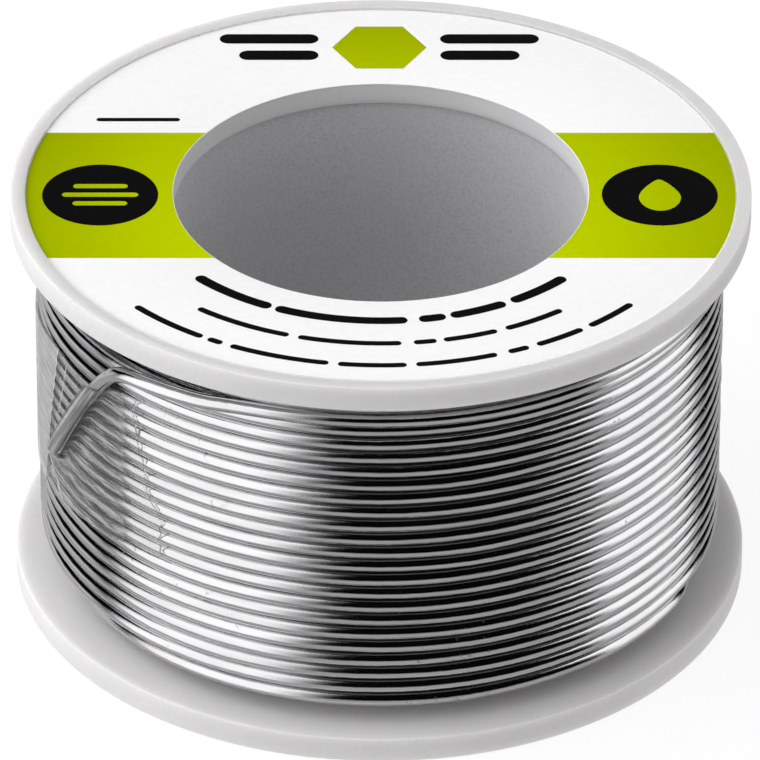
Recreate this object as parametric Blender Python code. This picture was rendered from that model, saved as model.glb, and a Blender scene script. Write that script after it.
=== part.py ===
"""Solder wire spool: a labelled three-piece plastic spool wound with one length of 1 mm solder wire.

Units are metres and +Z is up. The spool stands on its lower flange: the origin is the middle of that
flange's outer face, and the spool's axis is Z. The wire's taped free end is on the -X side, turned
a little towards -Y. Azimuths are measured around Z from -Y, positive towards +X.
"""

import math

import bmesh
import bpy
from mathutils import Vector

MM = 0.001

# Spool body: two equal flange discs, one pressed and welded to each end of the hub tube.
FLANGE_RADIUS = 23.8 * MM
FLANGE_THICKNESS = 1.7 * MM
FLANGE_BORE_RADIUS = 13.3 * MM
FLANGE_RIM_ROUNDING = 0.25 * MM
BORE_EDGE_ROUNDING = 0.12 * MM
WINDING_WIDTH = 24.85 * MM
HUB_BORE_RADIUS = 13.5 * MM
HUB_OUTER_RADIUS = 15.3 * MM
JOINT_GAP = 0.03 * MM

# Paper label on the upper flange.
LABEL_RADIUS = 22.8 * MM
LABEL_THICKNESS = 0.12 * MM

# Solder wire.
WIRE_DIAMETER = 1.0 * MM
WINDING_RADIUS = 22.1 * MM
WINDING_CLEARANCE = 0.3 * MM
WINDING_EDGE_STEP = 0.87 * MM

# Free end of the wire, as (azimuth in degrees, height) along its centre line: it leaves the last
# turn, bends down and runs aslant over the turns below.
TAIL_ROUTE = (
    (-28.0, 24.40 * MM),
    (-34.0, 24.37 * MM),
    (-40.0, 24.31 * MM),
    (-44.2, 24.22 * MM),
    (-47.0, 23.90 * MM),
    (-49.2, 23.25 * MM),
    (-51.4, 22.30 * MM),
    (-54.4, 20.75 * MM),
    (-59.2, 18.00 * MM),
    (-65.2, 14.55 * MM),
)
TAIL_LIFT = 0.3 * MM

# Clear adhesive tape that holds the free end.
TAPE_WIDTH = 11.0 * MM
TAPE_START = -42.0
TAPE_END = -132.0
TAPE_HEIGHT_AT_START = 15.9 * MM
TAPE_FALL_PER_DEGREE = 0.045 * MM
TAPE_THICKNESS = 0.1 * MM
TAPE_LIFT = 0.3 * MM
TENT_HALF_WIDTH = 3.2 * MM

RING_SEGMENTS = 96
LABEL_SEGMENTS = 96
TAPE_COLUMNS = 60
TAPE_ROWS = 14
TAIL_POINTS = 30
ROUNDING_STEPS = 3

BARREL_TOP = FLANGE_THICKNESS + WINDING_WIDTH
FLANGE_TOP = BARREL_TOP + FLANGE_THICKNESS
WIRE_RADIUS = WIRE_DIAMETER / 2
TAIL_RADIUS = WINDING_RADIUS + TAIL_LIFT + WIRE_RADIUS
TAPE_RADIUS = WINDING_RADIUS + TAPE_LIFT
TENT_RISE = TAIL_RADIUS + WIRE_RADIUS + TAPE_LIFT - TAPE_RADIUS


def clear_scene():
    for obj in list(bpy.data.objects):
        bpy.data.objects.remove(obj)


def make_material(name, colour, roughness, metallic=0.0, alpha=1.0):
    material = bpy.data.materials.new(name)
    material.use_nodes = True
    shader = material.node_tree.nodes["Principled BSDF"]
    shader.inputs["Base Color"].default_value = (*colour, 1.0)
    shader.inputs["Roughness"].default_value = roughness
    shader.inputs["Metallic"].default_value = metallic
    shader.inputs["Alpha"].default_value = alpha
    return material


def add_mesh_object(name, bm, material):
    bmesh.ops.recalc_face_normals(bm, faces=bm.faces)
    mesh = bpy.data.meshes.new(name)
    bm.to_mesh(mesh)
    bm.free()
    mesh.shade_smooth()
    mesh.set_sharp_from_angle(angle=math.radians(40))
    mesh.materials.append(material)
    obj = bpy.data.objects.new(name, mesh)
    bpy.context.collection.objects.link(obj)
    return obj


def corner(radius, height, rounding, start_degrees):
    """Points of a quarter round, centred on (radius, height), turning a quarter turn anticlockwise."""
    points = []
    for step in range(ROUNDING_STEPS + 1):
        angle = math.radians(start_degrees + 90 * step / ROUNDING_STEPS)
        points.append((radius + rounding * math.cos(angle), height + rounding * math.sin(angle)))
    return points


def rounded_section(inner, outer, low, high, inner_rounding, outer_rounding):
    """Closed section of a ring, as (radius, height) points, with four rounded corners."""
    section = corner(outer - outer_rounding, low + outer_rounding, outer_rounding, -90)
    section += corner(outer - outer_rounding, high - outer_rounding, outer_rounding, 0)
    section += corner(inner + inner_rounding, high - inner_rounding, inner_rounding, 90)
    section += corner(inner + inner_rounding, low + inner_rounding, inner_rounding, 180)
    return section


def turned_ring(name, section, segments, material):
    """Turns a closed (radius, height) section once around Z."""
    bm = bmesh.new()
    verts = [bm.verts.new((radius, 0.0, height)) for radius, height in section]
    edges = [bm.edges.new((verts[i - 1], verts[i])) for i in range(len(verts))]
    bmesh.ops.spin(
        bm, geom=verts + edges, cent=(0, 0, 0), axis=(0, 0, 1), dvec=(0, 0, 0),
        angle=2 * math.pi, steps=segments, use_merge=True, use_duplicate=False,
    )
    return add_mesh_object(name, bm, material)


def on_cylinder(azimuth, height, radius):
    angle = math.radians(azimuth)
    return Vector((radius * math.sin(angle), -radius * math.cos(angle), height))


def smooth_route(points, count):
    """Reads count points, evenly by parameter, from a Catmull-Rom curve through the route's points."""
    ends = [2 * points[0] - points[1], *points, 2 * points[-1] - points[-2]]
    spans = len(points) - 1
    result = []
    for index in range(count):
        place = index * spans / (count - 1)
        span = min(int(place), spans - 1)
        t = place - span
        a, b, c, d = ends[span:span + 4]
        result.append(
            0.5 * (2 * b + (c - a) * t + (2 * a - 5 * b + 4 * c - d) * t ** 2
                   + (3 * b - a - 3 * c + d) * t ** 3)
        )
    return result


def build_flange(name, low, material):
    section = rounded_section(
        FLANGE_BORE_RADIUS, FLANGE_RADIUS, low, low + FLANGE_THICKNESS,
        BORE_EDGE_ROUNDING, FLANGE_RIM_ROUNDING,
    )
    return turned_ring(name, section, RING_SEGMENTS, material)


def build_hub_tube(material):
    low = FLANGE_THICKNESS + JOINT_GAP
    high = BARREL_TOP - JOINT_GAP
    section = [(HUB_OUTER_RADIUS, low), (HUB_OUTER_RADIUS, high),
               (HUB_BORE_RADIUS, high), (HUB_BORE_RADIUS, low)]
    return turned_ring("hub_tube", section, RING_SEGMENTS, material)


def build_label(material):
    low = FLANGE_TOP + JOINT_GAP
    high = low + LABEL_THICKNESS
    section = [(LABEL_RADIUS, low), (LABEL_RADIUS, high),
               (FLANGE_BORE_RADIUS, high), (FLANGE_BORE_RADIUS, low)]
    return turned_ring("top_label", section, LABEL_SEGMENTS, material)


def build_winding(material):
    """Outer shape of all the wound turns: its outermost layer starts short of the lower flange."""
    inner = HUB_OUTER_RADIUS + WINDING_CLEARANCE
    low = FLANGE_THICKNESS + WINDING_CLEARANCE
    high = BARREL_TOP - WINDING_CLEARANCE
    step_height = low + WINDING_EDGE_STEP
    section = [(inner, low), (WINDING_RADIUS - WINDING_EDGE_STEP, low), (WINDING_RADIUS, step_height),
               (WINDING_RADIUS, high), (inner, high)]
    return turned_ring("solder_winding", section, RING_SEGMENTS, material)


def build_tail(material):
    points = [on_cylinder(azimuth, height, TAIL_RADIUS) for azimuth, height in TAIL_ROUTE]
    curve = bpy.data.curves.new("solder_tail", "CURVE")
    curve.dimensions = "3D"
    curve.bevel_depth = WIRE_RADIUS
    curve.bevel_resolution = 2
    curve.use_fill_caps = True
    spline = curve.splines.new("POLY")
    route = smooth_route(points, TAIL_POINTS)
    spline.points.add(len(route) - 1)
    for place, point in zip(spline.points, route):
        place.co = (*point, 1.0)
    curve.materials.append(material)
    obj = bpy.data.objects.new("solder_tail", curve)
    bpy.context.collection.objects.link(obj)
    return obj


def tail_segments():
    """The free end laid flat, as (arc length, height) points on the unrolled winding."""
    return [(math.radians(azimuth) * TAPE_RADIUS, height) for azimuth, height in TAIL_ROUTE]


def distance_to_tail(arc, height, flat_route):
    place = Vector((arc, height))
    best = math.inf
    for start, end in zip(flat_route, flat_route[1:]):
        a = Vector(start)
        span = Vector(end) - a
        share = max(0.0, min(1.0, (place - a).dot(span) / span.length_squared))
        best = min(best, (place - a - share * span).length)
    return best


def tape_radius_at(azimuth, height, flat_route):
    """The tape lies on the turns and tents over the wire's free end."""
    distance = distance_to_tail(math.radians(azimuth) * TAPE_RADIUS, height, flat_route)
    slack = max(0.0, distance - WIRE_RADIUS - TAPE_LIFT)
    return TAPE_RADIUS + TENT_RISE * max(0.0, 1.0 - slack / TENT_HALF_WIDTH)


def build_tape(material):
    flat_route = tail_segments()
    bm = bmesh.new()
    layers = []
    for offset in (0.0, TAPE_THICKNESS):
        rows = []
        for column in range(TAPE_COLUMNS + 1):
            azimuth = TAPE_START + (TAPE_END - TAPE_START) * column / TAPE_COLUMNS
            middle = TAPE_HEIGHT_AT_START - TAPE_FALL_PER_DEGREE * (TAPE_START - azimuth)
            line = []
            for row in range(TAPE_ROWS + 1):
                height = middle + TAPE_WIDTH * (row / TAPE_ROWS - 0.5)
                radius = tape_radius_at(azimuth, height, flat_route) + offset
                line.append(bm.verts.new(on_cylinder(azimuth, height, radius)))
            rows.append(line)
        layers.append(rows)
    for rows in layers:
        for left, right in zip(rows, rows[1:]):
            for row in range(TAPE_ROWS):
                bm.faces.new((left[row], left[row + 1], right[row + 1], right[row]))
    inner, outer = layers
    inner_edge = border(inner)
    outer_edge = border(outer)
    for i in range(len(inner_edge)):
        bm.faces.new((inner_edge[i - 1], inner_edge[i], outer_edge[i], outer_edge[i - 1]))
    return add_mesh_object("clear_tape", bm, material)


def border(rows):
    """The grid's border vertices, in order around it."""
    first = rows[0][:-1]
    top = [line[-1] for line in rows[:-1]]
    last = rows[-1][:0:-1]
    bottom = [line[0] for line in rows[:0:-1]]
    return first + top + last + bottom


def build_spool():
    plastic = make_material("spool_plastic", (0.80, 0.80, 0.79), 0.42)
    paper = make_material("label_paper", (0.92, 0.92, 0.91), 0.45)
    solder = make_material("solder", (0.72, 0.72, 0.73), 0.18, metallic=1.0)
    tape = make_material("clear_tape", (0.90, 0.91, 0.90), 0.20, alpha=0.35)
    build_flange("bottom_flange", 0.0, plastic)
    build_flange("top_flange", BARREL_TOP, plastic)
    build_hub_tube(plastic)
    build_label(paper)
    build_winding(solder)
    build_tail(solder)
    build_tape(tape)


clear_scene()
build_spool()
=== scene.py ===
"""Looks of the solder wire spool: an off-white spool, a printed ring label, one length of solder wire
wound in seven layers, and the clear tape that holds the wire's free end.

Units are metres and +Z is up. Azimuths are measured around Z from -Y, positive towards +X.
"""

import math

import bmesh
import bpy
from mathutils import Matrix, Vector, noise


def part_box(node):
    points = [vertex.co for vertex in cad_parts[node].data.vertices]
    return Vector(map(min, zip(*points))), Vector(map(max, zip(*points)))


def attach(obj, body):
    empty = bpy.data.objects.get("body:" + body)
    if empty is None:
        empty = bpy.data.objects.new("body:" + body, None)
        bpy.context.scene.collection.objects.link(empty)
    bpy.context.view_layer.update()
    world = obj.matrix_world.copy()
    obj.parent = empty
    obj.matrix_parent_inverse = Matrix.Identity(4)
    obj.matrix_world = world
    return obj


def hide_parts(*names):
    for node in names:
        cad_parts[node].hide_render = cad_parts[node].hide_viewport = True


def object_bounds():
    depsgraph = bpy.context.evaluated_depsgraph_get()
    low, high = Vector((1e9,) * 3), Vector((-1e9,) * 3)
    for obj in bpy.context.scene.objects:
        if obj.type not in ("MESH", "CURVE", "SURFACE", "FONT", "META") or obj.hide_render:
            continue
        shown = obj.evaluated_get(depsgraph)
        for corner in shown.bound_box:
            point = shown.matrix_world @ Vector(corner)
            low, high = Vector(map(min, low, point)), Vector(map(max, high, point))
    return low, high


MM = 0.001

# Camera: a long lens, looking along +Y and down.
CAMERA_ELEVATION = math.radians(32.65)
CAMERA_DISTANCE = 646.7 * MM
CAMERA_LENS_MM = 471.7
CAMERA_SENSOR_MM = 36.0
CAMERA_ROLL = math.radians(0.221)
CAMERA_AIM_DROP = 0.5 * MM

# Solder wire: even and odd layers lie in each other's grooves, and each turn rises by GROOVE_SLOPE for
# each radian of azimuth around the front.
WIRE_DIAMETER = 1.0 * MM
LAYERS = 7
LAYER_STEP = 0.962 * MM
OUTER_RADIUS = 21.67 * MM
TURN_PITCH = 1.02 * MM
EVEN_LAYER_START = 2.40 * MM
EVEN_LAYER_TURNS = 24
ODD_LAYER_TURNS = 23
OUTER_LAYER_TURNS = 21
TOP_TURN_HEIGHT = 25.57 * MM
LAST_TURN_HEIGHT = 24.70 * MM
LAST_TURN_RADIUS = 22.15 * MM
GROOVE_SLOPE = 0.055 * MM

# At the back each turn crosses over to the next one's place. The crossings are measured in turns: half
# their width, how far they drift from one turn to the next, and how far from the back they can reach.
CROSSING_HALF_WIDTH = 0.05
CROSSING_DRIFT = 0.0032
CROSSING_REACH = 0.25

# Unevenness of the outer layer's turns.
WAVE_LENGTH = 8.5 * MM
RADIAL_UNEVENNESS = 0.033 * MM
AXIAL_UNEVENNESS = 0.014 * MM

# Detail of the wire's curve, and how many of its last points are smoothed, all but the very last ones.
INNER_POINTS_PER_TURN = 24
SECOND_POINTS_PER_TURN = 48
OUTER_POINTS_PER_TURN = 96
WIRE_SIDES_RESOLUTION = 5
TAIL_POINTS = 64
SMOOTHED_POINTS = 90
UNSMOOTHED_POINTS = 3
SMOOTHING_PASSES = 6

# Free end of the wire: the radius of its centre line, the azimuths where it rises to it, and its route
# as (azimuth in degrees, height), the same as in the CAD part.
TAIL_RADIUS = 22.69 * MM
TAIL_RISE = (-20.0, -45.0)
TAIL_ROUTE = (
    (-28.0, 24.40 * MM),
    (-34.0, 24.37 * MM),
    (-40.0, 24.31 * MM),
    (-44.2, 24.22 * MM),
    (-47.0, 23.90 * MM),
    (-49.2, 23.25 * MM),
    (-51.4, 22.30 * MM),
    (-54.4, 20.75 * MM),
    (-59.2, 18.00 * MM),
    (-65.2, 14.55 * MM),
)


def on_cylinder(azimuth, height, radius):
    angle = math.radians(azimuth)
    return Vector((radius * math.sin(angle), -radius * math.cos(angle), height))


def smoothstep(low, high, value):
    share = min(1.0, max(0.0, (value - low) / (high - low)))
    return share * share * (3 - 2 * share)


def mix(a, b, share):
    return a + (b - a) * share


# ---------------------------------------------------------------- camera


def add_camera(target):
    data = bpy.data.cameras.new("camera")
    data.lens = CAMERA_LENS_MM
    data.sensor_width = CAMERA_SENSOR_MM
    data.clip_start = 0.05
    data.clip_end = 20.0
    camera = bpy.data.objects.new("camera", data)
    bpy.context.scene.collection.objects.link(camera)
    back = Vector((0.0, -math.cos(CAMERA_ELEVATION), math.sin(CAMERA_ELEVATION)))
    up = Vector((0.0, math.sin(CAMERA_ELEVATION), math.cos(CAMERA_ELEVATION)))
    place = target + CAMERA_DISTANCE * back
    aim = target - CAMERA_AIM_DROP * up
    turn = (place - aim).to_track_quat("Z", "Y").to_matrix().to_4x4()
    camera.matrix_world = Matrix.Translation(place) @ turn @ Matrix.Rotation(CAMERA_ROLL, 4, "Z")
    bpy.context.scene.camera = camera


# ---------------------------------------------------------------- shader helpers


class Shader:
    """A material's or world's node tree, with short calls for the nodes used here."""

    def __init__(self, tree):
        self.tree = tree
        tree.nodes.clear()

    def add(self, kind, inputs=None, **settings):
        node = self.tree.nodes.new(kind)
        for name, value in settings.items():
            setattr(node, name, value)
        for name, value in (inputs or {}).items():
            self.set(node.inputs[name], value)
        return node

    def set(self, socket, value):
        if isinstance(value, bpy.types.NodeSocket):
            self.tree.links.new(value, socket)
        else:
            socket.default_value = value

    def math(self, operation, a, b=0.0):
        node = self.add("ShaderNodeMath", operation=operation)
        self.set(node.inputs[0], a)
        self.set(node.inputs[1], b)
        return node.outputs[0]

    def ramp(self, value, low, high, start=0.0, end=1.0):
        """Smooth step of value from low to high, mapped to start and end."""
        node = self.add("ShaderNodeMapRange", interpolation_type="SMOOTHSTEP")
        for name, socket in (("Value", value), ("From Min", low), ("From Max", high),
                             ("To Min", start), ("To Max", end)):
            self.set(node.inputs[name], socket)
        return node.outputs[0]

    def blend(self, share, a, b):
        node = self.add("ShaderNodeMix", data_type="FLOAT", clamp_factor=True)
        self.set(node.inputs[0], share)
        self.set(node.inputs[2], a)
        self.set(node.inputs[3], b)
        return node.outputs[0]

    def colours(self, share, a, b):
        node = self.add("ShaderNodeMix", data_type="RGBA")
        self.set(node.inputs[0], share)
        self.set(node.inputs[6], a)
        self.set(node.inputs[7], b)
        return node.outputs[2]

    def position(self):
        return self.add("ShaderNodeTexCoord").outputs["Object"]

    def split(self, vector):
        return self.add("ShaderNodeSeparateXYZ", {"Vector": vector}).outputs

    def join(self, x, y, z):
        return self.add("ShaderNodeCombineXYZ", {"X": x, "Y": y, "Z": z}).outputs[0]

    def noise(self, vector, scale, detail, roughness, w=None):
        node = self.add("ShaderNodeTexNoise", {"Vector": vector, "Scale": scale, "Detail": detail,
                                               "Roughness": roughness})
        if w is not None:
            node.noise_dimensions = "4D"
            self.set(node.inputs["W"], w)
        return node.outputs[0]

    def bump(self, height, strength, distance, normal=None):
        node = self.add("ShaderNodeBump", {"Height": height, "Strength": strength,
                                           "Distance": distance})
        if normal is not None:
            self.set(node.inputs["Normal"], normal)
        return node.outputs[0]

    def principled(self, **inputs):
        names = {name: name.replace("_", " ").title() for name in inputs}
        names.update({"ior": "IOR", "specular_ior_level": "Specular IOR Level"})
        shader = self.add("ShaderNodeBsdfPrincipled")
        for name, value in inputs.items():
            self.set(shader.inputs[names[name]], value)
        self.add("ShaderNodeOutputMaterial", {"Surface": shader.outputs[0]})


def new_shader(name):
    material = bpy.data.materials.new(name)
    material.use_nodes = True
    return material, Shader(material.node_tree)


# ---------------------------------------------------------------- materials


def around_coordinates(shader):
    """x, y and z in metres, and the distance from the spool's axis, as sockets."""
    x, y, z = shader.split(shader.position())
    squares = shader.math("ADD", shader.math("MULTIPLY", x, x), shader.math("MULTIPLY", y, y))
    return x, y, z, shader.math("SQRT", squares)


SOLDER_BRIGHT = (0.65, 0.648, 0.655, 1.0)
SOLDER_DULL = (0.56, 0.558, 0.565, 1.0)
SOLDER_LINE = (0.40, 0.40, 0.405, 1.0)
SOLDER_MARK = (0.36, 0.36, 0.37, 1.0)
SOLDER_ROUGHNESS = (0.04, 0.12)
MARK_ROUGHNESS = 0.25
GRIT_DEPTH = 0.006 * MM
STREAK_DEPTH = 0.012 * MM
LINE_DEPTH = 0.008 * MM
MARK_DEPTH = 0.03 * MM


def drawn_noise(shader, along, across, detail, roughness):
    """Noise drawn out along the turns; along and across are its scales round the spool and over it."""
    x, y, z, radius = around_coordinates(shader)
    place = shader.join(shader.math("MULTIPLY", x, along), shader.math("MULTIPLY", y, along),
                        shader.math("MULTIPLY", z, across))
    return shader.noise(place, 1.0, detail, roughness, w=shader.math("MULTIPLY", radius, across))


def solder_material():
    """Bright drawn wire: fine lines along it, a little tarnish, fine grit and a few handling marks."""
    material, shader = new_shader("solder_bright")
    fine = drawn_noise(shader, 90.0, 9000.0, 3.0, 0.6)
    broad = drawn_noise(shader, 160.0, 1500.0, 2.0, 0.5)
    streaks = drawn_noise(shader, 700.0, 7000.0, 2.0, 0.5)
    specks = shader.noise(shader.position(), 11000.0, 2.0, 0.6)
    marks = shader.noise(shader.position(), 2600.0, 2.0, 0.6)
    mark_zone = shader.noise(shader.position(), 260.0, 1.0, 0.5)
    mark = shader.math("MULTIPLY", shader.ramp(marks, 0.62, 0.70),
                       shader.ramp(mark_zone, 0.56, 0.66))
    roughness = shader.math("ADD", shader.ramp(broad, 0.35, 0.75, *SOLDER_ROUGHNESS),
                            shader.math("MULTIPLY", mark, MARK_ROUGHNESS))
    colour = shader.colours(shader.ramp(broad, 0.3, 0.8), SOLDER_BRIGHT, SOLDER_DULL)
    colour = shader.colours(shader.ramp(fine, 0.60, 0.78, 0.0, 0.35), colour, SOLDER_LINE)
    colour = shader.colours(mark, colour, SOLDER_MARK)
    grit = shader.bump(specks, 0.6, GRIT_DEPTH)
    streaked = shader.bump(streaks, shader.ramp(broad, 0.4, 0.7, 0.25, 0.9), STREAK_DEPTH, grit)
    lines = shader.bump(fine, 0.5, LINE_DEPTH, streaked)
    normal = shader.bump(marks, shader.math("MULTIPLY", mark, 0.5), MARK_DEPTH, lines)
    shader.principled(base_color=colour, metallic=1.0, roughness=roughness, normal=normal)
    return material


PLASTIC_GRAIN_DEPTH = 0.03 * MM
PLASTIC_ROUGHNESS = (0.44, 0.56)
PLASTIC_DEPTH_OF_GLOW = 2.0 * MM
SPECK_DARKENING = 0.6


def scaled(tone, factor):
    """A tone made lighter or darker, at most 1, as a colour with alpha."""
    return tuple(min(1.0, part * factor) for part in tone) + (1.0,)


def plastic_material(name, tone, grain):
    """Off-white moulded plastic, translucent near its surface, with a fine grain and fine specks.

    grain is the strength of both, from 0 to 1.
    """
    material, shader = new_shader(name)
    place = shader.position()
    cloud = shader.noise(place, 90.0, 3.0, 0.5)
    fine = shader.noise(place, 5200.0, 2.0, 0.6)
    colour = shader.colours(shader.ramp(cloud, 0.3, 0.7), scaled(tone, 0.97), scaled(tone, 1.02))
    colour = shader.colours(shader.ramp(fine, 0.45, 0.65), colour,
                            scaled(tone, 1.0 - SPECK_DARKENING * grain))
    roughness = shader.ramp(fine, 0.3, 0.7, *PLASTIC_ROUGHNESS)
    normal = shader.bump(fine, grain, PLASTIC_GRAIN_DEPTH)
    shader.principled(base_color=colour, roughness=roughness, normal=normal,
                      subsurface_weight=0.90, subsurface_radius=(1.0, 0.95, 0.9),
                      subsurface_scale=PLASTIC_DEPTH_OF_GLOW, specular_ior_level=0.10)
    return material


# The print's painted shade runs over these radii and over these depths from front to back.
LABEL_SHADE_RADII = (13.0 * MM, 24.0 * MM)
LABEL_SHADE_DEPTHS = (-12.0 * MM, 12.0 * MM)
PAPER_ROUGHNESS = 0.42
FIBRE_DEPTH = 0.02 * MM


def print_material(name, colour, gloss=0.3, at_edge=1.0, at_back=1.0):
    """Printed paper, or ink on it: satin, with the paper's faint fibres.

    The tone falls by a factor of at_edge from the bore to the label's edge, and of at_back from its
    near side to its far side; both falls are painted shade.
    """
    material, shader = new_shader(name)
    place = shader.position()
    _, y, _, radius = around_coordinates(shader)
    # Painted shade: darker towards the label's edge and towards its far side.
    painted_shade = shader.math("MULTIPLY", shader.ramp(radius, *LABEL_SHADE_RADII, 1.0, at_edge),
                       shader.ramp(y, *LABEL_SHADE_DEPTHS, 1.0, at_back))
    fibres = shader.noise(place, 2400.0, 4.0, 0.65)
    tone = shader.colours(shader.ramp(fibres, 0.3, 0.7), scaled(colour, 0.975),
                          scaled(colour, 1.015))
    tone = shader.colours(painted_shade, (0.0, 0.0, 0.0, 1.0), tone)
    normal = shader.bump(fibres, 0.08, FIBRE_DEPTH)
    shader.principled(base_color=tone, roughness=PAPER_ROUGHNESS, normal=normal,
                      specular_ior_level=gloss)
    return material


# ---------------------------------------------------------------- solder wire


def layer_radius(layer):
    return OUTER_RADIUS - (LAYERS - 1 - layer) * LAYER_STEP


def crossing(place, turn):
    """Share of its step that the wire has made, at a place in turns from the start of a turn.

    The crossings lie at the back, and drift a little from one turn to the next.
    """
    centre = CROSSING_DRIFT * (turn % EVEN_LAYER_TURNS - EVEN_LAYER_TURNS / 2)
    return smoothstep(centre - CROSSING_HALF_WIDTH, centre + CROSSING_HALF_WIDTH, place)


def catmull_rom(a, b, c, d, t):
    return 0.5 * (2 * b + (c - a) * t + (2 * a - 5 * b + 4 * c - d) * t ** 2
                  + (3 * b - a - 3 * c + d) * t ** 3)


def route_at(route, place):
    """Point of a Catmull-Rom curve through route; place runs from 0 to the number of spans."""
    ends = [2 * route[0] - route[1], *route, 2 * route[-1] - route[-2]]
    span = min(int(place), len(route) - 2)
    return catmull_rom(*ends[span:span + 4], place - span)


class Winding:
    """Every turn of the wire as a level (height, radius), from the hub outwards."""

    def __init__(self):
        self.levels = []
        for layer in range(LAYERS - 1):
            self.add_layer(layer)
        self.add_outer_layer()

    def add_layer(self, layer):
        odd = layer % 2
        turns = ODD_LAYER_TURNS if odd else EVEN_LAYER_TURNS
        start = EVEN_LAYER_START + odd * TURN_PITCH / 2
        heights = [start + turn * TURN_PITCH for turn in range(turns)]
        if odd:
            heights.reverse()
        if layer == LAYERS - 2:
            heights.pop()
        points = SECOND_POINTS_PER_TURN if layer >= LAYERS - 3 else INNER_POINTS_PER_TURN
        self.levels += [(height, layer_radius(layer), points) for height in heights]

    def add_outer_layer(self):
        first = EVEN_LAYER_START + TURN_PITCH
        heights = [first + turn * TURN_PITCH for turn in range(OUTER_LAYER_TURNS)]
        self.lowest = len(self.levels)
        self.levels += [(height, OUTER_RADIUS, OUTER_POINTS_PER_TURN) for height in heights]
        self.levels.append((TOP_TURN_HEIGHT, OUTER_RADIUS, OUTER_POINTS_PER_TURN))
        self.levels.append((LAST_TURN_HEIGHT, LAST_TURN_RADIUS, OUTER_POINTS_PER_TURN))


# The outer layer's first turn lies lower and deeper at the back, where it comes out of the layer below.
# It is out between these azimuths, and the turn after it is out within a share of a turn.
LOW_TURN_BACK_HEIGHT = 2.95 * MM
LOW_TURN_BACK_RADIUS = 20.75 * MM
LOW_TURN_RIGHT = (60.0, 76.0)
LOW_TURN_LEFT = (-78.0, -8.0)
LOW_TURN_STEP_OUT = 0.16


def low_turn_share(azimuth):
    """How far the outer layer's first turn has come out of the layer below, around the spool."""
    right = 1.0 - smoothstep(*LOW_TURN_RIGHT, azimuth)
    left = smoothstep(*LOW_TURN_LEFT, azimuth)
    return right * left


def waviness(distance, seed):
    """Slow unevenness along the wire, about -1 to 1."""
    place = Vector((distance / WAVE_LENGTH, seed, 0.5))
    return 1.6 * noise.noise(place) + 0.7 * noise.noise(place * 2.7)


def winding_points():
    """Centre line of the wound wire and its free end, from the hub to the cut end."""
    winding = Winding()
    levels = winding.levels
    last = len(levels) - 1
    points = []
    distance = 0.0
    for turn, (height, radius, count) in enumerate(levels):
        before = levels[max(0, turn - 1)]
        after = levels[min(last, turn + 1)]
        for step in range(count):
            share = step / count
            azimuth = 180.0 - 360.0 * share
            if turn == last and azimuth <= TAIL_ROUTE[0][0]:
                break
            z, r = height, radius
            if share < CROSSING_REACH:
                done = crossing(share, turn)
                z = mix(before[0], height, done)
                r = mix(before[1], radius, done)
            elif share > 1.0 - CROSSING_REACH and turn < last:
                done = crossing(share - 1.0, turn + 1)
                z = mix(height, after[0], done)
                r = mix(radius, after[1], done)
            level = smoothstep(150.0, 180.0, abs(azimuth))
            z += GROOVE_SLOPE * math.radians(azimuth) * (1.0 - level)
            if turn == winding.lowest:
                out = low_turn_share(azimuth)
                z = mix(LOW_TURN_BACK_HEIGHT, z, out)
                r = mix(LOW_TURN_BACK_RADIUS, r, out)
            elif turn == winding.lowest + 1 and share < CROSSING_REACH:
                done = smoothstep(0.0, LOW_TURN_STEP_OUT, share)
                z = mix(LOW_TURN_BACK_HEIGHT, z, done)
                r = mix(LOW_TURN_BACK_RADIUS, r, done)
            if turn >= winding.lowest:
                r += RADIAL_UNEVENNESS * waviness(distance, 3.1)
                z += AXIAL_UNEVENNESS * waviness(distance, 8.7)
            points.append(on_cylinder(azimuth, z, r))
            distance += 2 * math.pi * r / count
    return points + tail_points(points[-1])


def tail_points(start):
    """The last turn rises onto its neighbours, bends down and runs aslant over the turns below."""
    first_radius = math.hypot(start.x, start.y)
    route = []
    for azimuth, height in TAIL_ROUTE:
        rise = smoothstep(*TAIL_RISE, azimuth)
        route.append(on_cylinder(azimuth, height, mix(first_radius, TAIL_RADIUS, rise)))
    spans = len(route) - 1
    return [route_at(route, spans * index / TAIL_POINTS) for index in range(TAIL_POINTS + 1)]


def smooth_joint(points, start, end, passes):
    """Evens out the points from start to end, which keeps the bend round."""
    for _ in range(passes):
        points[start:end] = [
            (points[i - 1] + 2 * points[i] + points[i + 1]) / 4 for i in range(start, end)
        ]


def add_solder_wire(material):
    points = winding_points()
    count = len(points)
    smooth_joint(points, count - SMOOTHED_POINTS, count - UNSMOOTHED_POINTS, SMOOTHING_PASSES)
    data = bpy.data.curves.new("solder_wire", "CURVE")
    data.dimensions = "3D"
    data.bevel_depth = WIRE_DIAMETER / 2
    data.bevel_resolution = WIRE_SIDES_RESOLUTION
    data.use_fill_caps = True
    spline = data.splines.new("POLY")
    spline.points.add(len(points) - 1)
    for place, point in zip(spline.points, points):
        place.co = (*point, 1.0)
    data.materials.append(material)
    wire = bpy.data.objects.new("solder_wire", data)
    bpy.context.scene.collection.objects.link(wire)
    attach(wire, "root")
    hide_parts("solder_winding", "solder_tail")


# ---------------------------------------------------------------- spool body

RING_SEGMENTS = 256
ROUNDING_STEPS = 6


def add_mesh_piece(name, bm, material, smooth_angle=35.0):
    bmesh.ops.recalc_face_normals(bm, faces=bm.faces)
    mesh = bpy.data.meshes.new(name)
    bm.to_mesh(mesh)
    bm.free()
    mesh.shade_smooth()
    mesh.set_sharp_from_angle(angle=math.radians(smooth_angle))
    mesh.materials.append(material)
    obj = bpy.data.objects.new(name, mesh)
    bpy.context.scene.collection.objects.link(obj)
    return obj


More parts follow.
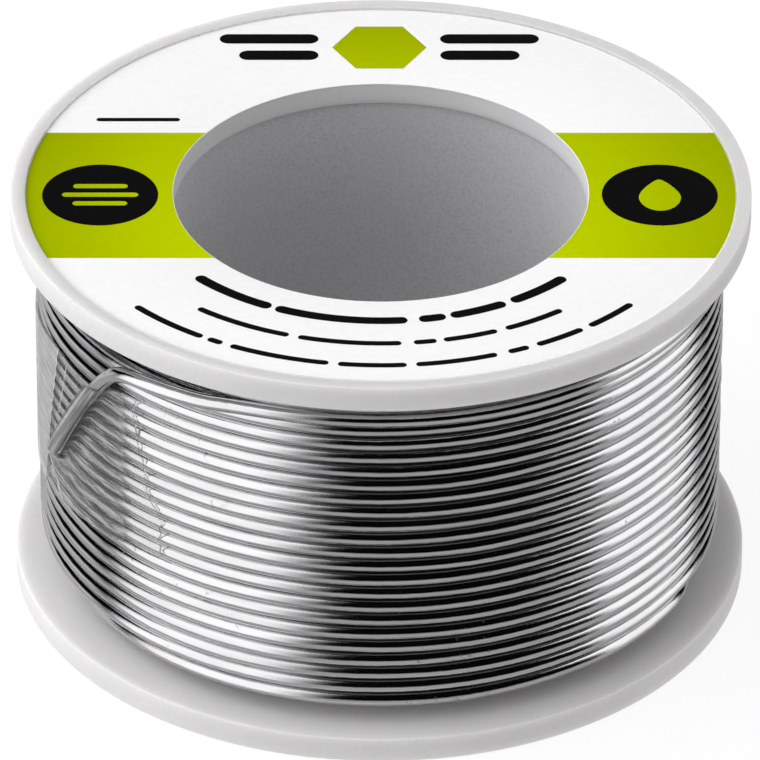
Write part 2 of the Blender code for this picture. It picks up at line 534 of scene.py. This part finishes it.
def quarter_round(radius, height, rounding, start_degrees):
    """A corner of a section, centred on (radius, height), turning anticlockwise."""
    points = []
    for step in range(ROUNDING_STEPS + 1):
        angle = math.radians(start_degrees + 90 * step / ROUNDING_STEPS)
        points.append((radius + rounding * math.cos(angle), height + rounding * math.sin(angle)))
    return points


def turned_ring(name, section, material):
    """Turns a closed (radius, height) section once around Z."""
    bm = bmesh.new()
    rings = []
    for index in range(RING_SEGMENTS):
        azimuth = 360.0 * index / RING_SEGMENTS
        rings.append([bm.verts.new(on_cylinder(azimuth, height, radius))
                      for radius, height in section])
    for index in range(RING_SEGMENTS):
        here, there = rings[index - 1], rings[index]
        for i in range(len(section)):
            bm.faces.new((here[i - 1], here[i], there[i], there[i - 1]))
    return add_mesh_piece(name, bm, material)


def ring_section(inner, outer, low, high, inner_rounding, outer_rounding):
    """Closed section of a ring; its rounded corners go low outer, high outer, high inner, low inner."""
    section = quarter_round(outer - outer_rounding, low + outer_rounding, outer_rounding, -90)
    section += quarter_round(outer - outer_rounding, high - outer_rounding, outer_rounding, 0)
    section += quarter_round(inner + inner_rounding, high - inner_rounding, inner_rounding, 90)
    section += quarter_round(inner + inner_rounding, low + inner_rounding, inner_rounding, 180)
    return section


BORE_RADIUS = 13.3 * MM
HUB_BORE_RADIUS = 13.5 * MM
HUB_OUTER_RADIUS = 15.3 * MM
RIM_ROUNDING = 0.09 * MM
BORE_ROUNDING = 0.12 * MM
HUB_ROUNDING = 0.05 * MM


def add_flange(name, node, material, label_radius=0.0):
    """A flange disc; with a label_radius, its outer face has a shallow seat for the label."""
    low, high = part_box(node)
    section = ring_section(BORE_RADIUS, high.x, low.z, high.z, BORE_ROUNDING, RIM_ROUNDING)
    if label_radius:
        seat = high.z - LABEL_RECESS
        outer_end = 2 * (ROUNDING_STEPS + 1)
        bore_end = outer_end + ROUNDING_STEPS + 1
        bore_edge = [(radius, height - LABEL_RECESS) for radius, height in section[outer_end:bore_end]]
        section = (section[:outer_end] + [(label_radius, high.z), (label_radius, seat)] + bore_edge
                   + section[bore_end:])
    flange = turned_ring(name, section, material)
    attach(flange, "root")
    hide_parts(node)


def add_hub(material):
    low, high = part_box("hub_tube")
    section = ring_section(HUB_BORE_RADIUS, HUB_OUTER_RADIUS, low.z, high.z, HUB_ROUNDING,
                           HUB_ROUNDING)
    hub = turned_ring("spool_hub", section, material)
    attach(hub, "root")
    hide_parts("hub_tube")


# ---------------------------------------------------------------- label

PRINT_THICKNESS = 0.008 * MM
PRINT_GAP = 0.004 * MM
PRINT_MARGIN_AT_BORE = 0.07 * MM
PRINT_MARGIN_AT_EDGE = 0.03 * MM
LABEL_PAPER = 0.05 * MM
LABEL_GAP = 0.03 * MM

# The label lies in a shallow seat, turned a little around the spool's axis.
LABEL_RECESS = 0.26 * MM
LABEL_TURN = math.radians(0.41)
SEAT_GAP = 0.002 * MM

# Printed band and discs, as y and (x, y) on the label.
BAND_LOW = -8.15 * MM
BAND_HIGH = 7.15 * MM
DISC_RADIUS = 3.72 * MM
DISC_PLACES = ((-18.0 * MM, -0.54 * MM), (17.9 * MM, -0.54 * MM))


def add_prints(name, outlines, bottom, material):
    """Thin closed prints, one for each outline of (x, y) points, turned a little with the label."""
    bm = bmesh.new()
    turn = Matrix.Rotation(LABEL_TURN, 2)
    for outline in outlines:
        outline = [turn @ Vector(point) for point in outline]
        low = [bm.verts.new((x, y, bottom)) for x, y in outline]
        high = [bm.verts.new((x, y, bottom + PRINT_THICKNESS)) for x, y in outline]
        bm.faces.new(low)
        bm.faces.new(high)
        for i in range(len(outline)):
            bm.faces.new((low[i - 1], low[i], high[i], high[i - 1]))
    bmesh.ops.triangulate(bm, faces=[face for face in bm.faces if len(face.verts) > 4])
    piece = add_mesh_piece(name, bm, material)
    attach(piece, "root")


def band_outline(side, label_radius):
    """One half of the colour band, between the bore and the label's edge."""
    steps = 48
    heights = [mix(BAND_LOW, BAND_HIGH, step / steps) for step in range(steps + 1)]
    inner = BORE_RADIUS + PRINT_MARGIN_AT_BORE
    outer = label_radius - PRINT_MARGIN_AT_EDGE
    outside = [(side * math.sqrt(outer ** 2 - y ** 2), y) for y in heights]
    inside = [(side * math.sqrt(inner ** 2 - y ** 2), y) for y in reversed(heights)]
    return outside + inside


def disc_outline(centre, radius, steps=96):
    angles = [2 * math.pi * step / steps for step in range(steps)]
    return [(centre[0] + radius * math.cos(a), centre[1] + radius * math.sin(a)) for a in angles]


def round_end(centre, width, heading, degrees):
    """Points round the end of a bar, at angles in degrees from its heading in radians."""
    angles = [heading + math.radians(value) for value in degrees]
    return [(centre.x + width / 2 * math.cos(a), centre.y + width / 2 * math.sin(a)) for a in angles]


def bar_outline(start, end, width):
    """A straight bar with round ends."""
    start, end = Vector(start), Vector(end)
    heading = math.atan2(end.y - start.y, end.x - start.x)
    outline = []
    for centre, turn in ((end, -90.0), (start, 90.0)):
        outline += round_end(centre, width, heading, [turn + 15.0 * step for step in range(13)])
    return outline


def arc_bar_outline(radius, start_degrees, end_degrees, width):
    """A bar bent round the label's centre; azimuths from -Y, with round ends."""
    outline = []
    steps = max(4, int(abs(end_degrees - start_degrees)))
    outer_side = (0.5, start_degrees, end_degrees)
    inner_side = (-0.5, end_degrees, start_degrees)
    for side, first, last in (outer_side, inner_side):
        for step in range(steps + 1):
            place = on_cylinder(mix(first, last, step / steps), 0.0, radius + side * width)
            outline.append((place.x, place.y))
        end = on_cylinder(last, 0.0, radius)
        outward = math.atan2(end.y, end.x) + (0.0 if side > 0 else math.pi)
        outline += round_end(end, width, outward, [22.5 * step for step in range(1, 8)])
    return outline


# Plain bars that stand for the printed lines: radius, bar width, and each bar's (start, end) azimuths.
PRINTED_ARCS = (
    (15.60 * MM, 0.78 * MM,
     ((-47.0, -28.0), (-24.0, 4.5), (10.0, 13.5), (17.5, 28.5), (33.0, 46.5))),
    (18.25 * MM, 0.50 * MM,
     ((-38.5, -19.5), (-16.0, 3.0), (7.0, 10.0), (13.0, 22.5), (26.0, 37.5))),
    (20.80 * MM, 0.50 * MM,
     ((-47.5, -33.5), (-31.0, -29.5), (-26.5, -10.0), (-7.0, 3.5), (6.5, 19.5), (23.0, 25.5),
      (28.5, 36.5), (39.5, 48.5))),
)


def add_label(paper, band, dark):
    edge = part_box("top_label")[1].x
    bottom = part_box("top_flange")[1].z - LABEL_RECESS + SEAT_GAP
    top = bottom + LABEL_PAPER
    section = ring_section(BORE_RADIUS + LABEL_GAP, edge, bottom, top, 0.01 * MM, 0.015 * MM)
    label = turned_ring("label_paper", section, paper)
    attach(label, "root")
    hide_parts("top_label")
    first = top + PRINT_GAP
    add_prints("label_band", [band_outline(-1, edge), band_outline(1, edge)], first, band)
    marks = []
    for radius, width, bars in PRINTED_ARCS:
        marks += [arc_bar_outline(radius, start, end, width) for start, end in bars]
    marks += emblem_bars()
    add_prints("label_dark_marks", marks, first, dark)
    second = first + PRINT_THICKNESS + PRINT_GAP
    discs = [disc_outline(place, DISC_RADIUS) for place in DISC_PLACES]
    add_prints("label_discs", discs, second, dark)
    third = second + PRINT_THICKNESS + PRINT_GAP
    add_prints("label_disc_marks", disc_marks(), third, band)
    add_prints("label_emblem", emblem_shapes(), first, band)


# Marks on the discs: (offset, half length) of each bar on the left one, and the drop on the right one.
DISC_BARS = ((1.05 * MM, 1.5 * MM), (0.0, 2.2 * MM), (-1.05 * MM, 1.5 * MM))
DISC_BAR_WIDTH = 0.5 * MM
DROP_RADIUS = 1.35 * MM
DROP_SETTING = 0.25 * MM
DROP_STEPS = 48


def disc_marks():
    """Three plain bars on one disc, and a drop on the other."""
    (left, bar_level), (right, drop_level) = DISC_PLACES
    outlines = []
    for offset, reach in DISC_BARS:
        y = bar_level + offset
        outlines.append(bar_outline((left - reach, y), (left + reach, y), DISC_BAR_WIDTH))
    drop = []
    for step in range(DROP_STEPS):
        angle = 2 * math.pi * step / DROP_STEPS
        taper = 1.0 - 0.5 * max(0.0, math.sin(angle)) ** 1.5
        lift = 1.25 if math.sin(angle) > 0 else 1.0
        drop.append((right + DROP_RADIUS * math.cos(angle) * taper,
                     drop_level - DROP_SETTING + DROP_RADIUS * math.sin(angle) * lift * 1.25))
    outlines.append(drop)
    return outlines


# Marks at the back of the label: a hexagon, bars on both sides of it as (height over it, outer end),
# and a thin bar at the left, as (start, end, width).
EMBLEM_CENTRE = (0.0, 18.15 * MM)
EMBLEM_RADIUS = 3.1 * MM
EMBLEM_SETTING = 0.2 * MM
EMBLEM_BARS = ((0.9 * MM, 9.9 * MM), (-1.2 * MM, 8.6 * MM))
EMBLEM_BARS_START = 4.6 * MM
EMBLEM_BAR_WIDTH = 1.2 * MM
THIN_BAR = ((-18.2 * MM, 8.8 * MM), (-13.2 * MM, 8.8 * MM), 0.42 * MM)


def emblem_bars():
    """Plain dark bars on both sides of the hexagon, and the thin one at the left."""
    bars = []
    for side in (-1, 1):
        for height, reach in EMBLEM_BARS:
            y = EMBLEM_CENTRE[1] + height
            bars.append(bar_outline((side * EMBLEM_BARS_START, y), (side * reach, y), EMBLEM_BAR_WIDTH))
    bars.append(bar_outline(*THIN_BAR))
    return bars


def emblem_shapes():
    """A plain hexagon."""
    x, y = EMBLEM_CENTRE
    angles = [math.radians(60 * step) for step in range(6)]
    return [[(x + EMBLEM_RADIUS * math.cos(a), y - EMBLEM_SETTING + EMBLEM_RADIUS * math.sin(a))
             for a in angles]]


# ---------------------------------------------------------------- clear tape

TAPE_WIDTH = 11.3 * MM
TAPE_START = -38.2
TAPE_END = -132.0
TAPE_MIDDLE_AT_START = 16.95 * MM
TAPE_FALL_PER_DEGREE = 0.045 * MM
TAPE_THICKNESS = 0.05 * MM
TAPE_RADIUS = 22.24 * MM
TAPE_COLUMNS = 290
TAPE_ROWS = 130
COLUMN_CROWDING = 1.35

# Its torn edge, in degrees: how far the upper end leans out, the teeth and the wander of the tear, and
# the share of the tape's length in which it evens out; and how ragged the long edges are.
TORN_LEAN = -5.7
TOOTH_DEPTH = 0.9
TEAR_WANDER = 1.1
TORN_SHARE = 0.15
RAGGEDNESS = 0.06 * MM

# The tape over the wire's free end: its lift there, the free end's tip, half of the strip that lies on
# it, and the strip's middle line, which heads along TAIL_HEADING on the unrolled winding and passes
# the origin at a distance of TAIL_LINE.
TAIL_TOP_LIFT = 0.98 * MM
TAIL_TIP = (-66.0, 14.15 * MM)
HALF_TAIL = 0.47 * MM
TAIL_HEADING = (0.56, 0.83)
TAIL_LINE = 29.15 * MM

# Where the tape comes down to the turns at the left of the free end, and its other folds, as (azimuth,
# height), and the azimuths where the glue in the grooves at the right of the free end fades out.
RIDGE_TOP = (-67.5, 21.3 * MM)
RIDGE_FOOT = (-75.7, 9.3 * MM)
LOW_FOLD_TOP = (-74.0, 12.3 * MM)
LOW_FOLD_FOOT = (-66.5, 9.7 * MM)
SECOND_FOLD_TOP = (-61.6, 21.4 * MM)
SECOND_FOLD_FOOT = (-63.4, 17.6 * MM)
TONGUES_END = (-51.5, -43.5)

# How far the tape stands up in the pocket below the free end, and sags into the grooves where it sticks.
POCKET_LIFT = 0.45 * MM
GROOVE_SAG = 0.045 * MM


def arc_length(degrees):
    """Distance round the winding from azimuth 0, as on the unrolled tape."""
    return math.radians(degrees) * TAPE_RADIUS


def azimuth_on(line_top, line_foot, height):
    """Azimuth at a height on a straight line between two (azimuth, height) places."""
    share = (line_top[1] - height) / (line_top[1] - line_foot[1])
    return mix(line_top[0], line_foot[0], share)


def tail_azimuth(height):
    """Azimuth of the wire's free end at a height, from its bend down to its tip."""
    route = [point for point in TAIL_ROUTE if point[1] < 24.0 * MM] + [TAIL_TIP]
    for above, below in zip(route, route[1:]):
        if height >= below[1]:
            return azimuth_on(above, below, max(height, below[1]))
    return TAIL_TIP[0]


def line_weight(distance, half_width):
    """1 on a line, falling to 0 at half_width from it."""
    return max(0.0, 1.0 - abs(distance) / half_width)


class TapePlace:
    """The tape at one place: its lift above the turns' crowns, and its marks.

    The marks are shares from 0 to 1: haze, where the film is milky; tongues, where the glue has
    flowed into the grooves; tail, over the wire's free end, with painted shading of it; line, on the
    painted dark shade beside that end; and the share on a sharp fold, a painted highlight along it.
    """

    def __init__(self, azimuth, height):
        arc = arc_length(azimuth)
        ridge = arc_length(azimuth_on(RIDGE_TOP, RIDGE_FOOT, height))
        tail = arc_length(tail_azimuth(height))
        low_fold = arc_length(azimuth_on(LOW_FOLD_TOP, LOW_FOLD_FOOT, height))
        from_tail = arc - tail
        beside = smoothstep(TAIL_TIP[1] - 1.3 * MM, TAIL_TIP[1] + 0.2 * MM, height)
        pocket = height < LOW_FOLD_TOP[1] and ridge < arc < low_fold
        self.lift = self.tent_lift(arc, ridge, tail) * beside
        if pocket:
            middle = math.sin(math.pi * (arc - ridge) / (low_fold - ridge))
            depth = (LOW_FOLD_TOP[1] - height) / (LOW_FOLD_TOP[1] - LOW_FOLD_FOOT[1])
            self.lift += POCKET_LIFT * middle * min(1.0, depth)
        stuck = 1.0 - smoothstep(0.0, 0.25 * MM, self.lift)
        phase = (height - GROOVE_SLOPE * math.radians(azimuth) - EVEN_LAYER_START) / TURN_PITCH
        self.lift -= GROOVE_SAG * stuck * (0.5 - 0.5 * math.cos(2 * math.pi * phase))
        self.haze = smoothstep(-0.15 * MM, 0.3 * MM, ridge - arc)
        self.haze *= 1.0 - 0.55 * smoothstep(-92.0, -112.0, azimuth)
        right = smoothstep(HALF_TAIL - 0.1 * MM, HALF_TAIL + 0.15 * MM, from_tail) * beside
        below = (1.0 - beside) * (0.0 if pocket or arc < ridge else 1.0)
        self.tongues = max(right, below) * (1.0 - smoothstep(*TONGUES_END, azimuth))
        # Over the free end the film carries painted shading of the wire, and beside it painted dark
        # shade.
        on_tail = smoothstep(TAIL_TIP[1] - 0.5 * MM, TAIL_TIP[1] - 0.3 * MM, height)
        self.tail = on_tail * (1.0 - smoothstep(HALF_TAIL, HALF_TAIL + 0.12 * MM, abs(from_tail)))
        from_edge = abs(from_tail) - HALF_TAIL - 0.1 * MM
        self.line = on_tail * min(1.0, 1.5 * line_weight(from_edge, 0.17 * MM))
        # On the sharp folds, a painted highlight.
        self.fold_glint = self.fold_glint_share(arc, height, ridge, low_fold)

    def tent_lift(self, arc, ridge, tail):
        """A steep side at the right of the free end, a flat top on it and a long slope at its left."""
        flat_top = 0.32 * MM
        if arc > tail + flat_top:
            return TAIL_TOP_LIFT * (1.0 - smoothstep(0.0, 0.5 * MM, arc - tail - flat_top))
        if arc > tail - flat_top:
            return TAIL_TOP_LIFT
        if arc < ridge:
            return 0.0
        return TAIL_TOP_LIFT * (arc - ridge) / (tail - flat_top - ridge)

    def fold_glint_share(self, arc, height, ridge, low_fold):
        # Share of the painted highlight along the ridge and the other folds.
        fold_glint = line_weight(arc - ridge, 0.2 * MM)
        if height > SECOND_FOLD_FOOT[1]:
            second = arc_length(azimuth_on(SECOND_FOLD_TOP, SECOND_FOLD_FOOT, height))
            fold_glint = max(fold_glint, 0.75 * line_weight(arc - second, 0.17 * MM))
        if height < LOW_FOLD_TOP[1]:
            bow = 0.5 * MM * math.sin(math.pi * (LOW_FOLD_TOP[1] - height) / (2.8 * MM))
            fold_glint = max(fold_glint, line_weight(arc - low_fold - bow, 0.2 * MM))
        return fold_glint


def tape_cut(across):
    """How far the torn edge stands out at a share of the tape's width, in degrees."""
    teeth = abs((across * 13.0) % 1.0 - 0.5)
    lean = TORN_LEAN * smoothstep(0.0, 0.85, across)
    wander = TEAR_WANDER * noise.noise(Vector((across * 6.0, 4.0, 1.0)))
    return lean + TOOTH_DEPTH * teeth + wander


def tape_place(share, across):
    """Azimuth and height at a share of the tape's length and of its width."""
    cut = tape_cut(across) * (1.0 - smoothstep(0.0, TORN_SHARE, share))
    azimuth = mix(TAPE_START, TAPE_END, share) + cut
    middle = TAPE_MIDDLE_AT_START + TAPE_FALL_PER_DEGREE * (azimuth - TAPE_START)
    ragged = RAGGEDNESS * noise.noise(Vector((azimuth * 0.8, 0.0, 7.0)))
    return azimuth, middle + TAPE_WIDTH * (across - 0.5) + ragged * abs(2 * across - 1)


def add_tape(material):
    """A closed film; its outer face carries the marks in two colour layers, film and marks."""
    bm = bmesh.new()
    film = bm.verts.layers.float_color.new("film")
    marks = bm.verts.layers.float_color.new("marks")
    layers = []
    for offset in (0.0, TAPE_THICKNESS):
        columns = []
        for column in range(TAPE_COLUMNS + 1):
            share = (column / TAPE_COLUMNS) ** COLUMN_CROWDING
            line = []
            for row in range(TAPE_ROWS + 1):
                azimuth, height = tape_place(share, row / TAPE_ROWS)
                place = TapePlace(azimuth, height)
                edge = line_weight(column - 3, 3.5)
                edge = max(edge, 0.5 * line_weight(min(row, TAPE_ROWS - row), 1.5))
                vert = bm.verts.new(on_cylinder(azimuth, height, TAPE_RADIUS + place.lift + offset))
                if offset:
                    vert[film] = (place.haze, place.tongues, place.tail, 1.0)
                    vert[marks] = (place.fold_glint, place.line, edge, 1.0)
                else:
                    vert[film] = (0.0, 0.0, 0.0, 1.0)
                    vert[marks] = (0.0, 0.0, 0.0, 1.0)
                line.append(vert)
            columns.append(line)
        layers.append(columns)
    for columns in layers:
        for left, right in zip(columns, columns[1:]):
            for row in range(TAPE_ROWS):
                bm.faces.new((left[row], left[row + 1], right[row + 1], right[row]))
    inner, outer = (tape_border(columns) for columns in layers)
    for i in range(len(inner)):
        bm.faces.new((inner[i - 1], inner[i], outer[i], outer[i - 1]))
    tape = add_mesh_piece("tape_film", bm, material, smooth_angle=60.0)
    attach(tape, "root")
    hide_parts("clear_tape")


def tape_border(columns):
    """The grid's border vertices, in order around it."""
    first = columns[0][:-1]
    top = [line[-1] for line in columns[:-1]]
    last = columns[-1][:0:-1]
    bottom = [line[0] for line in columns[:0:-1]]
    return first + top + last + bottom


FILM_OPACITY = 0.06
FILM_TONE = 0.42
WRINKLE_DEPTH = 0.12 * MM


def tape_material():
    """Clear film; its marks, from TapePlace, set how milky, streaky, creased or dark it is, and paint
    the free end's shading, the shade beside it and the folds' highlight.
    """
    material, shader = new_shader("tape_clear")
    film = shader.add("ShaderNodeVertexColor", layer_name="film").outputs["Color"]
    haze, tongues, tail = shader.add("ShaderNodeSeparateColor", {"Color": film}).outputs[0:3]
    marks = shader.add("ShaderNodeVertexColor", layer_name="marks").outputs["Color"]
    fold_glint, line, edge = shader.add("ShaderNodeSeparateColor", {"Color": marks}).outputs[0:3]
    x, y, z = shader.split(shader.position())
    angle = shader.math("ARCTAN2", x, shader.math("MULTIPLY", y, -1.0))
    arc = shader.math("MULTIPLY", angle, TAPE_RADIUS)
    level = shader.math("SUBTRACT", z, shader.math("MULTIPLY", angle, GROOVE_SLOPE))
    phase = shader.math("DIVIDE", shader.math("SUBTRACT", level, EVEN_LAYER_START), TURN_PITCH)
    crown = shader.math("COSINE", shader.math("MULTIPLY", phase, 2 * math.pi))
    strokes = shader.noise(shader.join(shader.math("MULTIPLY", arc, 420.0),
                                       shader.math("MULTIPLY", level, 5200.0), 0.0), 1.0, 3.0, 0.6)
    round_part, up_part = TAIL_HEADING
    along = shader.math("ADD", shader.math("MULTIPLY", arc, round_part),
                        shader.math("MULTIPLY", z, up_part))
    beside = shader.math("SUBTRACT", shader.math("MULTIPLY", arc, up_part),
                         shader.math("MULTIPLY", z, round_part))
    tail_strokes = shader.noise(shader.join(shader.math("MULTIPLY", along, 160.0),
                                            shader.math("MULTIPLY", beside, 7000.0), 3.0),
                                1.0, 2.0, 0.5)
    from_tail = shader.math("ABSOLUTE", shader.math("ADD", beside, TAIL_LINE))
    # Painted shading of the free end under the film: darker along its middle, lighter towards its sides,
    # with streaks along it.
    tail_shading_and_streaks = shader.math("ADD", shader.ramp(from_tail, 0.10 * MM, 0.42 * MM, 0.20, 0.50),
                            shader.ramp(tail_strokes, 0.35, 0.65, -0.13, 0.16))
    specks = shader.noise(shader.position(), 3200.0, 2.0, 0.6)

    feather = shader.math("ADD", strokes, shader.math("MULTIPLY", crown, 0.10))
    feather = shader.ramp(feather, 0.42, 0.68)
    ragged = shader.math("ADD", tongues,
                         shader.math("MULTIPLY", shader.math("SUBTRACT", strokes, 0.5), 0.9))
    glue = shader.math("MULTIPLY", shader.ramp(ragged, 0.25, 0.6), shader.ramp(tongues, 0.02, 0.2))
    opacity, tone = FILM_OPACITY, FILM_TONE
    # Each stage is (where, opacity, tone), laid over the ones before it.
    stages = (
        (haze, shader.ramp(strokes, 0.3, 0.7, 0.50, 0.68),
         shader.ramp(strokes, 0.3, 0.7, 0.44, 0.60)),
        (glue, shader.ramp(feather, 0.0, 1.0, 0.52, 0.46),
         shader.ramp(feather, 0.0, 1.0, 0.10, 0.62)),
        # Over the free end, its painted shading.
        (tail, 0.72, tail_shading_and_streaks),
        # Beside the free end, painted dark shade.
        (line, 0.88, 0.02),
        # On the sharp folds, a painted highlight, broken by specks.
        (shader.math("MULTIPLY", fold_glint, shader.ramp(specks, 0.3, 0.5, 0.55, 1.0)), 0.72, 0.86),
        (shader.math("MULTIPLY", edge, shader.ramp(specks, 0.40, 0.48)), 0.85,
         shader.ramp(specks, 0.60, 0.66, 0.02, 0.75)),
    )
    for share, stage_opacity, stage_tone in stages:
        opacity = shader.blend(share, opacity, stage_opacity)
        tone = shader.blend(share, tone, stage_tone)
    grey = shader.add("ShaderNodeCombineColor", {"Red": tone, "Green": tone, "Blue": tone})
    wrinkles = shader.noise(shader.position(), 700.0, 3.0, 0.6)
    normal = shader.bump(wrinkles, 0.12, WRINKLE_DEPTH)
    shader.principled(base_color=grey.outputs[0], roughness=0.30, alpha=opacity, normal=normal,
                      ior=1.48)
    return material


# ---------------------------------------------------------------- studio

FLOOR_SIZE = 4.0
FLOOR_HEIGHT = -0.1 * MM
FLOOR_GLOW = 0.86
FLOOR_TONE = (0.16, 0.16, 0.16, 1.0)


def add_floor():
    """A white floor that the camera sees and shadows fall on, but that lights nothing."""
    mesh = bpy.data.meshes.new("floor")
    half = FLOOR_SIZE / 2
    corners = [(-half, -half), (half, -half), (half, half), (-half, half)]
    mesh.from_pydata([(x, y, FLOOR_HEIGHT) for x, y in corners], [], [(0, 1, 2, 3)])
    floor = bpy.data.objects.new("floor", mesh)
    bpy.context.scene.collection.objects.link(floor)
    material, shader = new_shader("floor_white")
    glow = shader.add("ShaderNodeEmission", {"Color": (1, 1, 1, 1), "Strength": FLOOR_GLOW})
    matte = shader.add("ShaderNodeBsdfDiffuse", {"Color": FLOOR_TONE})
    both = shader.add("ShaderNodeAddShader")
    shader.set(both.inputs[0], glow.outputs[0])
    shader.set(both.inputs[1], matte.outputs[0])
    shader.add("ShaderNodeOutputMaterial", {"Surface": both.outputs[0]})
    mesh.materials.append(material)
    floor.visible_glossy = False
    floor.visible_diffuse = False


# Soft boxes that the wire mirrors, by direction in degrees: the azimuths where the left and the right
# side fade, the elevations where the foot and the top fade, and radiance.
SOFT_BOXES = (
    ((-99.0, -82.0), (-41.0, -14.0), (-54.0, -18.0), (56.0, 74.0), 1.52),
    ((68.0, 82.0), (113.0, 125.0), (-50.0, 12.0), (50.0, 66.0), 1.46),
    ((-165.0, -145.0), (-105.0, -92.0), (-34.0, -14.0), (2.0, 14.0), 0.70),
)

# The grey floor that the wire mirrors: its radiance, the elevations where it fades into the dark room
# and where it darkens straight below, its share of brightness in a second reflection, deep in the
# grooves, and straight below, and the radiance of the dark room.
FLOOR_GREY = 0.48
HORIZON = (-18.0, 2.0)
NADIR = (-80.0, -60.0)
FLOOR_IN_GROOVES = 0.3
SHADED_FLOOR = 0.04
STUDIO_BLACK = 0.003

# Soft daylight that matt surfaces gather: radiance overhead, near the horizon and from below, how much
# brighter it is on the left, how bright the front and back and the two sides are, and a wide soft
# light high on the left.
SKY_OVERHEAD = 0.28
SKY_LOW = 0.90
SKY_BELOW = 0.69
SKY_LEFT_GAIN = 0.19
SKY_FRONT_SHARE = 0.75
SKY_SIDE_SHARE = 1.45
KEY_TOWARDS = Vector((-0.66, -0.12, 0.74))
KEY_EDGE = (0.55, 0.97)
KEY_RADIANCE = 1.5


def product(shader, *factors):
    """Product of two or more values."""
    result = factors[0]
    for factor in factors[1:]:
        result = shader.math("MULTIPLY", result, factor)
    return result


def mirrored_studio(shader, azimuth, elevation, path):
    """Radiance of the floor and the soft boxes, as shiny surfaces reflect them."""
    mirror = product(shader, shader.ramp(elevation, *HORIZON, FLOOR_GREY, STUDIO_BLACK),
                     shader.ramp(elevation, *NADIR, SHADED_FLOOR, 1.0),
                     shader.ramp(path["Glossy Depth"], 1.0, 2.0, 1.0, FLOOR_IN_GROOVES))
    for left, right, foot, top, radiance in SOFT_BOXES:
        across = product(shader, shader.ramp(azimuth, *left), shader.ramp(azimuth, *right, 1.0, 0.0))
        along = product(shader, shader.ramp(elevation, *foot), shader.ramp(elevation, *top, 1.0, 0.0))
        mirror = shader.math("MAXIMUM", mirror, product(shader, across, along, radiance))
    return mirror


def soft_daylight(shader, direction, elevation):
    """Radiance of the sky and the soft light, as matt surfaces gather them."""
    x, y, z = direction
    from_left = shader.math("SUBTRACT", 1.0, shader.math("MULTIPLY", x, SKY_LEFT_GAIN))
    sideways = shader.math("ABSOLUTE", x)
    sky = product(shader, shader.ramp(elevation, 15.0, 75.0, SKY_LOW, SKY_OVERHEAD),
                  shader.ramp(elevation, -8.0, 8.0, SKY_BELOW / SKY_LOW, 1.0), from_left,
                  shader.ramp(sideways, 0.35, 0.95, SKY_FRONT_SHARE, SKY_SIDE_SHARE))
    towards = shader.math("ADD", shader.math("MULTIPLY", x, KEY_TOWARDS.x),
                          shader.math("ADD", shader.math("MULTIPLY", y, KEY_TOWARDS.y),
                                      shader.math("MULTIPLY", z, KEY_TOWARDS.z)))
    return shader.math("ADD", sky, shader.ramp(towards, *KEY_EDGE, 0.0, KEY_RADIANCE))


def add_world():
    """The camera sees white, shiny surfaces the mirrored studio, and matt ones the soft daylight."""
    world = bpy.data.worlds.new("studio")
    bpy.context.scene.world = world
    world.use_nodes = True
    world.cycles.sampling_method = "NONE"
    shader = Shader(world.node_tree)
    direction = shader.split(shader.add("ShaderNodeTexCoord").outputs["Generated"])
    x, y, z = direction
    degrees = 180 / math.pi
    facing = shader.math("ARCTAN2", x, shader.math("MULTIPLY", y, -1.0))
    azimuth = shader.math("MULTIPLY", facing, degrees)
    elevation = shader.math("MULTIPLY", shader.math("ARCSINE", z), degrees)
    path = shader.add("ShaderNodeLightPath").outputs
    mirror = mirrored_studio(shader, azimuth, elevation, path)
    matt = soft_daylight(shader, direction, elevation)
    matt_ray = shader.math("MINIMUM", path["Diffuse Depth"], 1.0)
    strength = shader.blend(matt_ray, mirror, matt)
    strength = shader.blend(path["Is Camera Ray"], strength, 1.0)
    background = shader.add("ShaderNodeBackground", {"Color": (1, 1, 1, 1), "Strength": strength})
    shader.add("ShaderNodeOutputWorld", {"Surface": background.outputs[0]})


def add_studio():
    add_floor()
    add_world()
    bpy.context.scene.view_settings.view_transform = "Standard"


# ---------------------------------------------------------------- the object

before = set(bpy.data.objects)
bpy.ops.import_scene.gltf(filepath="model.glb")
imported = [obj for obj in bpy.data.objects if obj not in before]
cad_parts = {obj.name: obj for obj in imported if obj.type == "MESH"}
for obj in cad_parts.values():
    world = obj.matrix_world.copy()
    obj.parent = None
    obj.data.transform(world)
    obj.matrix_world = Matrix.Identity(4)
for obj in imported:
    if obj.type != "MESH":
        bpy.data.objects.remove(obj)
cad_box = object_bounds()
cad_low, cad_high = cad_box
add_camera(Vector((0.0, 0.0, (cad_low[2] + cad_high[2]) / 2)))
add_solder_wire(solder_material())
white_plastic = plastic_material("spool_plastic_satin", (0.64, 0.635, 0.637), 0.06)
# The hub shows only inside the bore; its tone, darker than the flanges', is painted shade there.
bore_shaded_plastic = plastic_material("spool_plastic_matt_bore_shade", (0.485, 0.485, 0.495), 0.22)
add_flange("spool_flange_lower", "bottom_flange", white_plastic)
seat_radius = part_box("top_label")[1].x + LABEL_GAP
add_flange("spool_flange_upper", "top_flange", white_plastic, seat_radius)
add_hub(bore_shaded_plastic)
# The green print carries painted shade, darker towards the label's edge and towards its far side.
add_label(print_material("label_white", (0.97, 0.97, 0.97)),
          print_material("label_green", (0.50, 0.615, 0.0), 0.0, 0.74, 0.82),
          print_material("label_black", (0.006, 0.006, 0.006), 0.1))
add_tape(tape_material())
add_studio()
